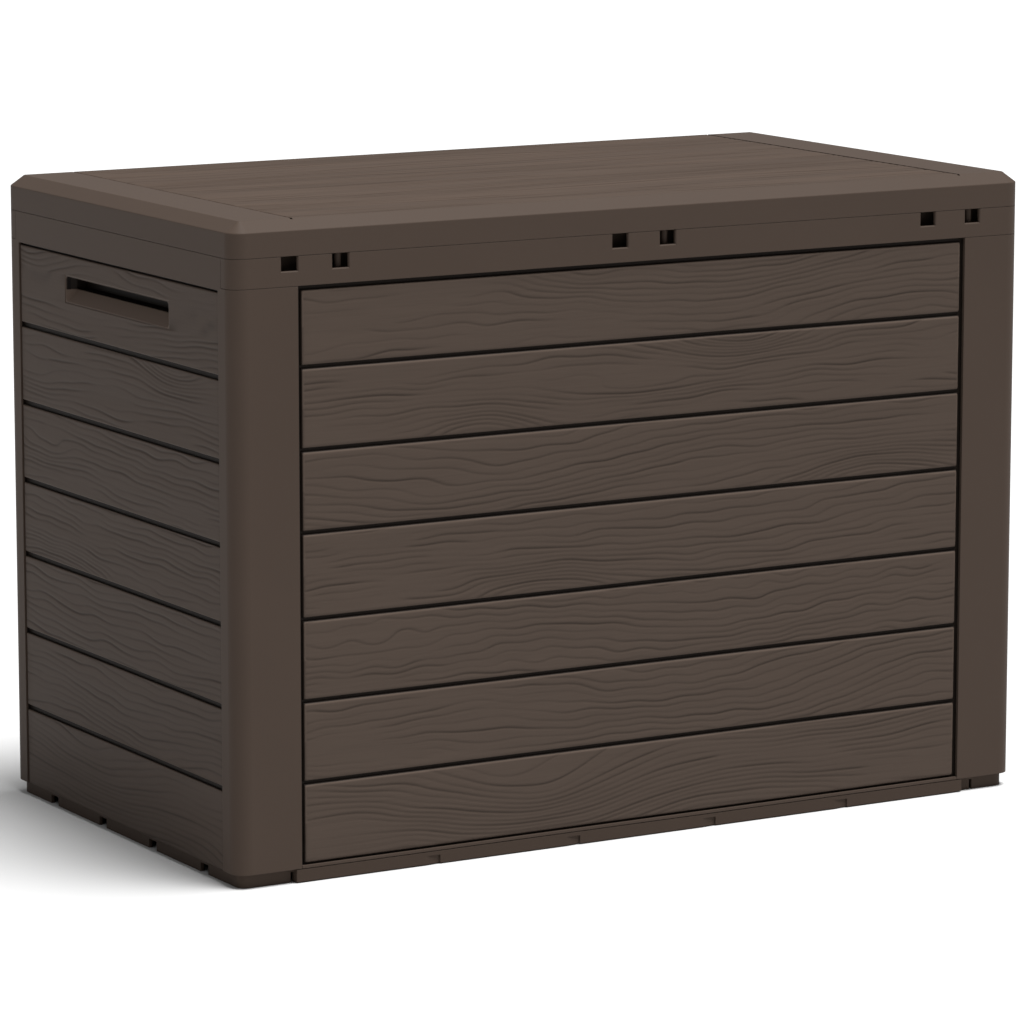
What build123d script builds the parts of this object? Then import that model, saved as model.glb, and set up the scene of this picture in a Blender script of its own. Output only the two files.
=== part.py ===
from build123d import *
from math import cos, radians, sin
import os

# Click-together storage box of moulded plastic for a deck or patio: a tray base, two side panels
# with round-cornered posts, equal front and back panels with a top rail, and a lid on three hinges.
# Millimetres, +Z up, the front faces -Y. The origin is on the ground under the middle of the box.

# Overall sizes, over the panels and the closed lid.
WIDTH = 780.0
DEPTH = 433.0
HEIGHT = 552.0
CORNER_RADIUS = 14.0

# Mouldings.
WALL = 3.0
RIB = 2.5
FIT = 0.3

# Lid: a skirt, a wide chamfer, a lip that hangs inside the rim, and ribs under the top.
LID_SKIRT = 21.0
LID_CHAMFER_IN = 12.0
LID_CHAMFER_UP = 9.0
LID_RIB_DEPTH = 11.5
LID_RIBS_LENGTHWAYS = 3
LID_RIBS_CROSSWAYS = 5
LIP_GAP = 2.8
LIP_DROP = 12.0
LID_EDGE_ROUND = 1.2
LID_GROOVE_WIDTH = 2.0
LID_GROOVE_DEPTH = 1.2
LID_FIELD_SINK = 0.5
LID_INNER_RADIUS = 1.0

# Top rail of the front and back panels, and the rim of the side panels.
RAIL_HEIGHT = 24.5
RIM_WIDTH = 22.0
RAIL_WRAP = 20.0

# Corner posts, which belong to the side panels.
POST_FRONT = 60.0
POST_SIDE = 26.0
TONGUE = 13.5
TONGUE_THICK = 4.2

# Plank fields: raised pads on a sunk back plane.
PLANKS = 7
PAD_THICK = 2.5
PAD_BEVEL = 1.3
FRONT_SINK = 2.0
FRONT_GROOVE = 2.6
FRONT_SIDE_GAP = 3.5
FRONT_TOP_GAP = 3.5
FRONT_MIDDLE_EXTRA = 3.6
FRONT_TOP_EXTRA = -5.0
SIDE_SINK = 1.5
SIDE_GROOVE = 4.6
SIDE_END_GAP = 1.0
SIDE_FIELD_DROP = 27.0
SIDE_MIDDLE_EXTRA = -3.0
SIDE_TOP_EXTRA = 3.0

# Base tray.
PANEL_Z = 12.0
BASE_INSET = 5.5
BASE_STEP = 5.0
SEAT_GAP = 0.6
SILL_LIFT = 0.9
SILL_HEIGHT = 2.4
SILL_GROOVE = 1.4
CURB_HEIGHT = 1.8
CURB_END_GAP = 6.0
SIDE_FLANGE = 14.0
VENT_WIDTH = 14.0
VENT_HEIGHT = 8.0
VENT_SPACING = 97.0
VENTS_PER_SIDE = 4
DETENT_WIDTH = 13.5
DETENT_HEIGHT = 8.0
DETENT_DEPTH = 1.6
DETENT_SPACING = 137.0
DETENTS = 4
DRAIN_SLOT_WIDTH = 3.0
DRAIN_SLOT_STEP = 12.0
BASE_RIBS_LENGTHWAYS = 3
BASE_RIBS_CROSSWAYS = 7

# Grip pocket of each side panel.
GRIP_LENGTH = 197.0
GRIP_HEIGHT = 22.0
GRIP_TOP_DROP = 47.0
GRIP_SLOT = 11.0
GRIP_END_SLOPE = 4.5
GRIP_SLOPE_DEPTH = 8.5
GRIP_POCKET_DEPTH = 18.5
GRIP_HOOK_RISE = 10.5
GRIP_CORNER = 3.5

# Hinges: a clip whose two ears pass through a pair of notches in the rail, a pin and a lid knuckle.
HINGE_SPACING = 314.0
NOTCH_SPACING = 47.0
NOTCH_WIDTH = 15.0
NOTCH_HEIGHT = 12.0
NOTCH_FLARE = 0.9
EAR_PLAY = 0.5
KNUCKLE_RADIUS = 4.5
KNUCKLE_GAP = 0.5
PIN_RADIUS = 2.0
PIN_FIT = 0.05
KNUCKLE_BORE_FIT = 0.08
HINGE_AXIS_DROP = 6.0
CLIP_PLATE = 4.0
CLIP_MARGIN = 2.0
STOP_ANGLE = 100.0
STOP_HALF_FACE = 4.2
SOCKET_HEIGHT = 10.5
SNAP_POST_RADIUS = 3.0
SNAP_POST_X = 26.0

# Worked-out places.
HALF_W = WIDTH / 2
HALF_D = DEPTH / 2
SEAM_Z = HEIGHT - LID_SKIRT - LID_CHAMFER_UP
RAIL_Z = SEAM_Z - RAIL_HEIGHT
RIM_X = HALF_W - RIM_WIDTH
RIM_Y = HALF_D - RIM_WIDTH
POST_X = HALF_W - POST_FRONT
POST_Y = HALF_D - POST_SIDE
WRAP_Y = HALF_D - RAIL_WRAP
FRONT_PAD_Y = HALF_D - FRONT_SINK
FRONT_PLANE_Y = FRONT_PAD_Y - PAD_THICK
FRONT_INNER_Y = FRONT_PLANE_Y - WALL
SIDE_PAD_X = HALF_W - SIDE_SINK
SIDE_PLANE_X = SIDE_PAD_X - PAD_THICK
SIDE_INNER_X = SIDE_PLANE_X - WALL
SIDE_FIELD_TOP = SEAM_Z - SIDE_FIELD_DROP
TONGUE_X = POST_X + TONGUE
CHANNEL_Y = FRONT_INNER_Y - FIT
BASE_X = HALF_W - BASE_INSET
BASE_Y = HALF_D - BASE_INSET
LEDGE_X = POST_X + BASE_STEP
LIP_X = RIM_X - LIP_GAP
LIP_Y = RIM_Y - LIP_GAP
HINGE_Y = HALF_D + KNUCKLE_GAP + KNUCKLE_RADIUS
HINGE_Z = SEAM_Z - HINGE_AXIS_DROP
NOTCH_Z = SEAM_Z - NOTCH_HEIGHT
EAR_WIDTH = NOTCH_WIDTH - 2 * EAR_PLAY
CLIP_HALF = NOTCH_SPACING / 2 + EAR_WIDTH / 2 + CLIP_MARGIN
HINGES = {"left": -HINGE_SPACING, "middle": 0.0, "right": HINGE_SPACING}

# Overlap of joined blocks, how far cutters run past a face, and the step between stacked cutters.
JOIN = 0.5
OVERRUN = 1.0
OVERCUT = 0.02


def block(x, y, z):
    """Box between two places along each axis."""
    size = [high - low for low, high in (x, y, z)]
    middle = [(high + low) / 2 for low, high in (x, y, z)]
    return Pos(*middle) * Box(*size)


def prism(width, depth, radius, z):
    """Upright prism on a centred rectangle with round corners."""
    outline = RectangleRounded(width, depth, radius)
    return Pos(0, 0, z[0]) * extrude(outline, amount=z[1] - z[0])


def frustum(low, high, z):
    """Ruled solid between two centred rectangles, each (width, depth, corner radius)."""
    lower = Pos(0, 0, z[0]) * RectangleRounded(*low)
    upper = Pos(0, 0, z[1]) * RectangleRounded(*high)
    return loft([lower, upper], ruled=True)


def outer_ring(z, thickness=WALL):
    """The outer wall of the whole box between two heights."""
    outside = prism(WIDTH, DEPTH, CORNER_RADIUS, z)
    inside = prism(WIDTH - 2 * thickness, DEPTH - 2 * thickness, CORNER_RADIUS - thickness, z)
    return outside - inside


def turned(shape):
    """The same moulding on the other side of the box, turned half round."""
    return Rot(0, 0, 180) * shape


def spread(count, spacing):
    """Places of a centred row."""
    return [(i - (count - 1) / 2) * spacing for i in range(count)]


def one(shape):
    """The largest solid of a boolean result."""
    return max(shape.solids(), key=lambda s: s.volume)


def plank_edges(bottom, top, middle_extra, top_extra):
    """Heights of the lines between planks, from the bottom edge to the top edge of a field."""
    pitch = (top - bottom - middle_extra - top_extra) / PLANKS
    heights = [pitch] * PLANKS
    heights[PLANKS // 2] += middle_extra
    heights[-1] += top_extra
    edges = [bottom]
    for height in heights:
        edges.append(edges[-1] + height)
    return edges


def front_plank_spans():
    """Lower and upper height of each plank pad of the front and back panels."""
    bottom = PANEL_Z + SILL_HEIGHT + SILL_GROOVE / 2
    top = RAIL_Z - FRONT_TOP_GAP
    edges = plank_edges(bottom, top, FRONT_MIDDLE_EXTRA, FRONT_TOP_EXTRA)
    spans = [[low + FRONT_GROOVE / 2, high - FRONT_GROOVE / 2] for low, high in zip(edges, edges[1:])]
    spans[0][0] = bottom + SILL_GROOVE / 2
    spans[-1][1] = top
    return spans


def side_plank_spans():
    """Lower and upper height of each plank pad of the side panels."""
    edges = plank_edges(PANEL_Z, SIDE_FIELD_TOP, SIDE_MIDDLE_EXTRA, SIDE_TOP_EXTRA)
    spans = [[low + SIDE_GROOVE / 2, high - SIDE_GROOVE / 2] for low, high in zip(edges, edges[1:])]
    spans[0][0] = PANEL_Z
    spans[-1][1] = SIDE_FIELD_TOP - SIDE_GROOVE / 2
    return spans


def pad(x, y, z, outward):
    """One plank pad, bevelled round its outer face."""
    shape = block(x, y, z)
    face = shape.faces().sort_by(outward)[-1]
    return chamfer(face.edges(), PAD_BEVEL)


def make_base_tray():
    """Tray with a skirt, a floor on ribs, a flush sill front and back, and curbs behind the panels."""
    floor_z = PANEL_Z - WALL
    body = prism(2 * BASE_X, 2 * BASE_Y, CORNER_RADIUS - BASE_INSET, (0, PANEL_Z))
    hollow_x, hollow_y = BASE_X - WALL, BASE_Y - WALL
    cavity = block((-hollow_x, hollow_x), (-hollow_y, hollow_y), (0, floor_z))
    sill_y = FRONT_PLANE_Y + FIT
    for side in (-1, 1):
        sill_front = sorted((side * HALF_D, side * (BASE_Y - JOIN)))
        sill_seat = sorted((side * sill_y, side * (BASE_Y - JOIN)))
        body += block((-LEDGE_X, LEDGE_X), sill_front, (SILL_LIFT, PANEL_Z - SEAT_GAP))
        body += block((-LEDGE_X, LEDGE_X), sill_seat, (PANEL_Z - SEAT_GAP - JOIN, PANEL_Z))
        hollow = sorted((side * (HALF_D - WALL), side * (hollow_y - JOIN)))
        cavity += block((WALL - LEDGE_X, LEDGE_X - WALL), hollow, (0, floor_z))
    body -= cavity
    for y in spread(BASE_RIBS_LENGTHWAYS, 2 * BASE_Y / (BASE_RIBS_LENGTHWAYS + 1)):
        body += block((-hollow_x - JOIN, hollow_x + JOIN), (y - RIB / 2, y + RIB / 2), (0, floor_z + JOIN))
    for x in spread(BASE_RIBS_CROSSWAYS, 2 * BASE_X / (BASE_RIBS_CROSSWAYS + 1)):
        body += block((x - RIB / 2, x + RIB / 2), (-hollow_y - JOIN, hollow_y + JOIN), (0, floor_z + JOIN))
    for side in (-1, 1):
        vent_x = sorted((side * (BASE_X + JOIN), side * (hollow_x - JOIN)))
        for y in spread(VENTS_PER_SIDE, VENT_SPACING):
            body -= block(vent_x, (y - VENT_WIDTH / 2, y + VENT_WIDTH / 2), (-OVERRUN, VENT_HEIGHT))
    curb = PANEL_Z + CURB_HEIGHT
    curb_x = TONGUE_X - CURB_END_GAP
    long_curb = block((-curb_x, curb_x), (CHANNEL_Y - RIB, CHANNEL_Y), (PANEL_Z - JOIN, curb))
    flange_x = SIDE_PLANE_X - SIDE_FLANGE - FIT
    short_curb = block((flange_x - RIB, flange_x), (-POST_Y, POST_Y), (PANEL_Z - JOIN, curb))
    half = long_curb + short_curb
    openings = []
    for x in (-LEDGE_X - DRAIN_SLOT_WIDTH, LEDGE_X + DRAIN_SLOT_STEP):
        slot_x = (x, x + DRAIN_SLOT_WIDTH)
        openings.append(block(slot_x, (-BASE_Y - JOIN, JOIN - hollow_y), (-OVERRUN, floor_z)))
    detent = base_detent()
    for x in spread(DETENTS, DETENT_SPACING):
        openings.append(Pos(x, -HALF_D, 0) * detent)
    body += half + turned(half)
    for opening in openings:
        body -= opening
        body -= turned(opening)
    return one(body)


def base_detent():
    """Ramp sunk into the sill: flush at its -X end, deepest at its +X end."""
    half = DETENT_WIDTH / 2
    outline = make_face(Polyline((-half, 0), (half, 0), (half, DETENT_DEPTH), close=True))
    corners = ((-half, 0), (-half, -OVERRUN), (half, -OVERRUN), (half, 0))
    above = make_face(Polyline(*corners, close=True))
    return Pos(0, 0, -OVERRUN) * extrude(outline + above, amount=DETENT_HEIGHT + OVERRUN)


def grip_void():
    """Space of the hand grip in the +X side panel: a sloped mouth and a hook pocket behind it."""
    top = SEAM_Z - GRIP_TOP_DROP
    mouth_x = SIDE_PAD_X + OVERCUT
    throat_x = SIDE_PAD_X - GRIP_SLOPE_DEPTH
    back_x = SIDE_PAD_X - GRIP_POCKET_DEPTH
    half = GRIP_LENGTH / 2
    inner_half = half - GRIP_END_SLOPE
    mouth_outline = RectangleRounded(GRIP_HEIGHT, 2 * half, GRIP_CORNER)
    throat_outline = RectangleRounded(GRIP_SLOT, 2 * inner_half, GRIP_CORNER)
    mouth = Pos(mouth_x, 0, top - GRIP_HEIGHT / 2) * Rot(0, 90, 0) * mouth_outline
    throat = Pos(throat_x, 0, top - GRIP_SLOT / 2) * Rot(0, 90, 0) * throat_outline
    funnel = loft([mouth, throat], ruled=True)
    pocket_z = (top - GRIP_SLOT, top + GRIP_HOOK_RISE)
    pocket = block((back_x, throat_x + OVERCUT), (-inner_half, inner_half), pocket_z)
    return funnel + pocket


def grip_shell():
    """Block that holds the grip pocket on the inside of the +X side panel."""
    top = SEAM_Z - GRIP_TOP_DROP
    half = GRIP_LENGTH / 2 + RIB
    back_x = SIDE_PAD_X - GRIP_POCKET_DEPTH - RIB
    shell_z = (top - GRIP_HEIGHT - RIB, top + GRIP_HOOK_RISE + RIB)
    shell = block((back_x, SIDE_INNER_X + JOIN), (-half, half), shell_z)
    edges = shell.faces().sort_by(Axis.X)[0].edges()
    return chamfer(edges, RIB)


def make_side_panel():
    """The +X side panel: a planked wall with a grip, half of two posts, and the rim under the lid."""
    post_top = RAIL_Z - FIT
    rim_y = WRAP_Y - FIT
    post_x = (POST_X, HALF_W)
    low = outer_ring((PANEL_Z, post_top)) & block(post_x, (-HALF_D, HALF_D), (PANEL_Z, post_top))
    high = outer_ring((post_top - JOIN, SEAM_Z)) & block(post_x, (-rim_y, rim_y), (PANEL_Z, SEAM_Z))
    body = low + high
    recess_x = (SIDE_INNER_X - OVERRUN, HALF_W + OVERRUN)
    body -= block(recess_x, (-POST_Y, POST_Y), (PANEL_Z - OVERRUN, SIDE_FIELD_TOP))
    lap = POST_Y + WALL
    body += block((SIDE_INNER_X, SIDE_PLANE_X), (-lap, lap), (PANEL_Z, SIDE_FIELD_TOP + WALL))
    for side in (-1, 1):
        strip = sorted((side * POST_Y, side * lap))
        body += block((SIDE_INNER_X, HALF_W - WALL + JOIN), strip, (PANEL_Z, SIDE_FIELD_TOP + WALL))
    body += block((SIDE_INNER_X, HALF_W - JOIN), (-lap, lap), (SIDE_FIELD_TOP, SIDE_FIELD_TOP + WALL))
    pad_y = POST_Y - SIDE_END_GAP
    for z in side_plank_spans():
        body += pad((SIDE_PLANE_X - JOIN, SIDE_PAD_X), (-pad_y, pad_y), z, Axis.X)
    body += block((RIM_X, HALF_W - JOIN), (-rim_y, rim_y), (SEAM_Z - WALL, SEAM_Z))
    body += block((RIM_X, RIM_X + RIB), (-rim_y, rim_y), (RAIL_Z, SEAM_Z))
    flange_x = SIDE_PLANE_X - SIDE_FLANGE
    flange_y = CHANNEL_Y - RIB - FIT
    body += block((flange_x, SIDE_INNER_X + JOIN), (-flange_y, flange_y), (PANEL_Z, PANEL_Z + WALL))
    channel_end = POST_X + TONGUE - RIB
    for side in (-1, 1):
        wall_y = sorted((side * CHANNEL_Y, side * (CHANNEL_Y - RIB)))
        body += block((channel_end, HALF_W - WALL + JOIN), wall_y, (PANEL_Z, post_top))
    body += grip_shell()
    return one(body - grip_void())


def hinge_socket():
    """Low walls in the rail that hold a hinge clip, and the snap post beside its right-hand ear."""
    floor_z = RAIL_Z + WALL - JOIN
    outer_y = -(HALF_D - WALL)
    plate_y = outer_y + FIT + CLIP_PLATE + FIT
    reach = CLIP_HALF + FIT
    low_top = RAIL_Z + SOCKET_HEIGHT
    socket = block((-reach - RIB, reach + RIB), (plate_y, plate_y + RIB), (floor_z, low_top))
    for side in (-1, 1):
        cheek = sorted((side * reach, side * (reach + RIB)))
        socket += block(cheek, (outer_y - JOIN, plate_y + RIB), (floor_z, low_top))
    post_height = SEAM_Z - 2 * FIT - floor_z
    post_place = Pos(SNAP_POST_X, plate_y + SNAP_POST_RADIUS, floor_z + post_height / 2)
    return socket + post_place * Cylinder(SNAP_POST_RADIUS, post_height)


def notch_cut():
    """Cut of one notch, open at the top of the rail, with flared outer edges."""
    half = NOTCH_WIDTH / 2
    above = SEAM_Z + OVERRUN
    cut = block((-half, half), (-HALF_D - OVERRUN, OVERCUT - (HALF_D - WALL)), (NOTCH_Z, above))
    wide = half + NOTCH_FLARE
    inner = Polyline((-half, NOTCH_Z), (half, NOTCH_Z), (half, above), (-half, above), close=True)
    low = NOTCH_Z - NOTCH_FLARE
    outer = Polyline((-wide, low), (wide, low), (wide, above), (-wide, above), close=True)
    deep = Plane.XZ.offset(HALF_D - NOTCH_FLARE) * make_face(inner)
    shallow = Plane.XZ.offset(HALF_D + OVERCUT) * make_face(outer)
    return cut + loft([deep, shallow], ruled=True)


def make_front_panel():
    """The -Y panel: a planked wall between the posts, tongues behind them, and the notched top rail."""
    field_x = POST_X - FRONT_SIDE_GAP
    tongue_y = (-(FRONT_INNER_Y + TONGUE_THICK), -FRONT_INNER_Y)
    body = block((-TONGUE_X, TONGUE_X), (-FRONT_PLANE_Y, -FRONT_INNER_Y), (PANEL_Z, RAIL_Z + JOIN))
    tongues = block((-TONGUE_X, TONGUE_X), tongue_y, (PANEL_Z, RAIL_Z - FIT))
    tongues -= block((-POST_X, POST_X), (-HALF_D, 0), (0, HEIGHT))
    body += tongues
    for z in front_plank_spans():
        body += pad((-field_x, field_x), (-FRONT_PAD_Y, JOIN - FRONT_PLANE_Y), z, -Axis.Y)
    sill_x = POST_X - FIT
    body += block((-sill_x, sill_x), (-HALF_D, JOIN - FRONT_PLANE_Y), (PANEL_Z, PANEL_Z + SILL_HEIGHT))
    rail_end = block((-HALF_W, HALF_W), (-HALF_D, -WRAP_Y), (RAIL_Z, SEAM_Z))
    rail = outer_ring((RAIL_Z, SEAM_Z)) & rail_end
    rail += prism(WIDTH, DEPTH, CORNER_RADIUS, (RAIL_Z, RAIL_Z + WALL)) & rail_end
    rail_x = RIM_X - FIT
    rail += block((-rail_x, rail_x), (-WRAP_Y - JOIN, -RIM_Y), (RAIL_Z, RAIL_Z + WALL))
    rail += block((-rail_x, rail_x), (-RIM_Y - RIB, -RIM_Y), (RAIL_Z, SEAM_Z))
    for side in (-1, 1):
        end_x = sorted((side * rail_x, side * (rail_x - RIB)))
        rail += block(end_x, (-(HALF_D - WALL) - JOIN, -RIM_Y - JOIN), (RAIL_Z, SEAM_Z))
    body += rail
    for x in HINGES.values():
        body += Pos(x, 0, 0) * hinge_socket()
        for notch in spread(2, NOTCH_SPACING):
            body -= Pos(x + notch, 0, 0) * notch_cut()
    return one(body)


def make_lid():
    """Chamfered lid with ribs and a lip below, two grooves across its top, and three hinge knuckles."""
    bottom = SEAM_Z + FIT
    skirt_top = SEAM_Z + LID_SKIRT
    top_size = (WIDTH - 2 * LID_CHAMFER_IN, DEPTH - 2 * LID_CHAMFER_IN, CORNER_RADIUS - LID_CHAMFER_IN)
    body = prism(WIDTH, DEPTH, CORNER_RADIUS, (bottom, skirt_top))
    body += frustum((WIDTH, DEPTH, CORNER_RADIUS), top_size, (skirt_top, HEIGHT))
    rims = body.edges().filter_by(lambda e: e.bounding_box().min.Z > skirt_top - JOIN)
    rims = [e for e in rims if e.bounding_box().size.Z < JOIN]
    body = fillet(rims, LID_EDGE_ROUND)
    in_width, in_depth = WIDTH - 2 * WALL, DEPTH - 2 * WALL
    in_radius = CORNER_RADIUS - WALL
    in_top = (in_width - 2 * LID_CHAMFER_IN, in_depth - 2 * LID_CHAMFER_IN, LID_INNER_RADIUS)
    cavity_top = skirt_top - WALL / 2
    body -= prism(in_width, in_depth, in_radius, (bottom - OVERRUN, cavity_top))
    body -= frustum((in_width, in_depth, in_radius), in_top, (cavity_top, HEIGHT - WALL))
    under = HEIGHT - WALL + JOIN
    lip_z = (SEAM_Z - LIP_DROP, under)
    lip = prism(2 * LIP_X, 2 * LIP_Y, CORNER_RADIUS / 2, lip_z)
    lip -= prism(2 * (LIP_X - RIB), 2 * (LIP_Y - RIB), CORNER_RADIUS / 2 - RIB, lip_z)
    body += lip
    rib_z = (HEIGHT - WALL - LID_RIB_DEPTH, under)
    rib_x, rib_y = LIP_X - JOIN, LIP_Y - JOIN
    for y in spread(LID_RIBS_LENGTHWAYS, 2 * LIP_Y / (LID_RIBS_LENGTHWAYS + 1)):
        body += block((-rib_x, rib_x), (y - RIB / 2, y + RIB / 2), rib_z)
    for x in spread(LID_RIBS_CROSSWAYS, 2 * LIP_X / (LID_RIBS_CROSSWAYS + 1)):
        body += block((x - RIB / 2, x + RIB / 2), (-rib_y, rib_y), rib_z)
    for x in (-POST_X, POST_X):
        groove = (x - LID_GROOVE_WIDTH / 2, x + LID_GROOVE_WIDTH / 2)
        body -= block(groove, (-HALF_D, HALF_D), (HEIGHT - LID_GROOVE_DEPTH, HEIGHT + OVERRUN))
    field_x = POST_X - LID_GROOVE_WIDTH / 2
    field_y = HALF_D - LID_CHAMFER_IN - LID_EDGE_ROUND
    body -= block((-field_x, field_x), (-field_y, field_y), (HEIGHT - LID_FIELD_SINK, HEIGHT + OVERRUN))
    knuckle = lid_knuckle()
    for x in HINGES.values():
        body += Pos(x, 0, 0) * knuckle
    return one(body)


def lid_knuckle():
    """Lug on the back of the lid that turns on the pin, with a nose that stops the lid when open."""
    half = NOTCH_SPACING / 2 - EAR_WIDTH / 2 - EAR_PLAY
    inner_y = HALF_D + KNUCKLE_GAP
    outer_y = HINGE_Y + KNUCKLE_RADIUS
    seam = SEAM_Z + FIT
    gusset_z = SEAM_Z + LID_SKIRT - WALL
    strap = Polyline(
        (inner_y, HINGE_Z),
        (inner_y, seam),
        (HALF_D - JOIN, seam),
        (HALF_D - JOIN, gusset_z),
        (HALF_D, gusset_z),
        (outer_y, gusset_z - 2 * KNUCKLE_RADIUS),
        (outer_y, HINGE_Z),
        close=True,
    )
    reach = HINGE_Y - HALF_D - FIT
    down = (-cos(radians(STOP_ANGLE)), -sin(radians(STOP_ANGLE)))
    along = (sin(radians(STOP_ANGLE)), -cos(radians(STOP_ANGLE)))

    def at(down_by, along_by):
        """Place from the hinge axis, along the stop nose's own two directions."""
        y = HINGE_Y + down_by * down[0] + along_by * along[0]
        z = HINGE_Z + down_by * down[1] + along_by * along[1]
        return (y, z)

    nose = Polyline(at(0, 0), at(reach, 0), at(reach, STOP_HALF_FACE), at(0, STOP_HALF_FACE), close=True)
    section = make_face(strap) + Pos(HINGE_Y, HINGE_Z) * Circle(KNUCKLE_RADIUS) + make_face(nose)
    section -= Pos(HINGE_Y, HINGE_Z) * Circle(PIN_RADIUS + KNUCKLE_BORE_FIT)
    return extrude(Plane.YZ * section, amount=half, both=True)


def make_hinge_clip():
    """Clip of the middle hinge: a plate inside the back rail, and two ears out through the notches."""
    plate_y = (HALF_D - WALL - FIT - CLIP_PLATE, HALF_D - WALL - FIT)
    clip = block((-CLIP_HALF, CLIP_HALF), plate_y, (RAIL_Z + WALL, SEAM_Z - 2 * FIT))
    low, high = NOTCH_Z + FIT, SEAM_Z - 2 * FIT
    root_y = plate_y[1] - JOIN
    strap = Polyline(
        (root_y, low),
        (HALF_D, low),
        (HINGE_Y, HINGE_Z - KNUCKLE_RADIUS),
        (HINGE_Y, HINGE_Z + KNUCKLE_RADIUS),
        (HALF_D, high),
        (root_y, high),
        close=True,
    )
    ear = make_face(strap) + Pos(HINGE_Y, HINGE_Z) * Circle(KNUCKLE_RADIUS)
    ear -= Pos(HINGE_Y, HINGE_Z) * Circle(PIN_RADIUS + PIN_FIT)
    solid_ear = extrude(Plane.YZ * ear, amount=EAR_WIDTH / 2, both=True)
    for x in spread(2, NOTCH_SPACING):
        clip += Pos(x, 0, 0) * solid_ear
    return one(clip)


def make_hinge_pin():
    """Pin of the middle hinge, flush with the outer sides of the ears."""
    length = NOTCH_SPACING + EAR_WIDTH
    pin = Cylinder(PIN_RADIUS, length)
    pin = chamfer(pin.edges().filter_by(GeomType.CIRCLE), PIN_RADIUS / 4)
    return Pos(0, HINGE_Y, HINGE_Z) * Rot(0, 90, 0) * pin


def main():
    """Builds every sub-part and writes one STEP file for each."""
    side = make_side_panel()
    front = make_front_panel()
    clip = make_hinge_clip()
    pin = make_hinge_pin()
    parts = {
        "base_tray": make_base_tray(),
        "right_side_panel": side,
        "left_side_panel": turned(side),
        "front_panel": front,
        "back_panel": turned(front),
        "lid": make_lid(),
    }
    for name, x in HINGES.items():
        parts[f"hinge_clip_{name}"] = Pos(x, 0, 0) * clip
        parts[f"hinge_pin_{name}"] = Pos(x, 0, 0) * pin
    os.makedirs("parts", exist_ok=True)
    for name, shape in parts.items():
        export_step(shape, f"parts/{name}.step")


main()
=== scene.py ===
"""Looks of the deck storage box: grained plank faces, moulded plastic finishes, light and camera.

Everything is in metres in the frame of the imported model: +Z up, the front faces -Y, and the origin
is on the ground under the middle of the box. Sizes of planks and grain are in millimetres.
"""

import logging
import math
from dataclasses import dataclass, field
from enum import Enum
from typing import Any, Optional

import bpy
import numpy as np
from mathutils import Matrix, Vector

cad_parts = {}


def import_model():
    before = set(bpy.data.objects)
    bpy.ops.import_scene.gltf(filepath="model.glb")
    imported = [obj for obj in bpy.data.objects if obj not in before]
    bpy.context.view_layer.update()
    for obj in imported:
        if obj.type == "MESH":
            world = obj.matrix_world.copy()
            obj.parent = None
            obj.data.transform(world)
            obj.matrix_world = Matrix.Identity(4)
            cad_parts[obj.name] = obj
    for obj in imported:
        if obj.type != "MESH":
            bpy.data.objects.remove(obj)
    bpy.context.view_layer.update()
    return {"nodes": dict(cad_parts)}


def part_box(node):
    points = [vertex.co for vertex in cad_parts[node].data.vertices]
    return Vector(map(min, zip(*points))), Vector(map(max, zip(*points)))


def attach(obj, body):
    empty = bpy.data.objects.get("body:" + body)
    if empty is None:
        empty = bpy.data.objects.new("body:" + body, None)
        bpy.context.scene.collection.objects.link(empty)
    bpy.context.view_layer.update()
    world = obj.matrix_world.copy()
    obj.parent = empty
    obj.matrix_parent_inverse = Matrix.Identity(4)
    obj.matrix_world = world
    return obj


LOG = logging.getLogger("deck_box")
MM = 0.001
PLANKS = 7
HALF = 0.5
MIX_FIRST_COLOUR, MIX_SECOND_COLOUR, MIXED_COLOUR = 6, 7, 2

Colour = tuple[float, float, float]
Span = tuple[float, float]


class Wall(Enum):
    """A wall of the box, numbered by the quarter turns that bring the front's plane to it."""

    FRONT = 0
    RIGHT = 1
    BACK = 2
    LEFT = 3


class Along(Enum):
    """The axis that a finish's streaks follow."""

    X = 0
    Y = 1


class LineStyle(Enum):
    """How deep and how wide a face's grain lines are pressed: half width and depth, millimetres."""

    PLANK = (0.95, 0.56)
    BROAD = (1.7, 0.62)


class Signal:
    """A shader socket that Python's operators add Math nodes to."""

    def __init__(self, shader: "Shader", socket: bpy.types.NodeSocket) -> None:
        """Wraps one output socket of a shader's tree."""
        self.shader = shader
        self.socket = socket

    def _math(self, operation: str, first: Any, second: Any) -> "Signal":
        """Adds one Math node.

        Args:
            operation: The Math node's operation.
            first: A signal or a number.
            second: A signal or a number.

        Returns:
            The node's output.
        """
        return self.shader.node("ShaderNodeMath", {"operation": operation}, {0: first, 1: second})

    def __add__(self, other: Any) -> "Signal":
        """Sum."""
        return self._math("ADD", self, other)

    def __radd__(self, other: Any) -> "Signal":
        """Sum, reflected."""
        return self._math("ADD", other, self)

    def __sub__(self, other: Any) -> "Signal":
        """Difference."""
        return self._math("SUBTRACT", self, other)

    def __rsub__(self, other: Any) -> "Signal":
        """Difference, reflected."""
        return self._math("SUBTRACT", other, self)

    def __mul__(self, other: Any) -> "Signal":
        """Product."""
        return self._math("MULTIPLY", self, other)

    def __rmul__(self, other: Any) -> "Signal":
        """Product, reflected."""
        return self._math("MULTIPLY", other, self)

    def __pow__(self, other: Any) -> "Signal":
        """Power."""
        return self._math("POWER", self, other)


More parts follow.
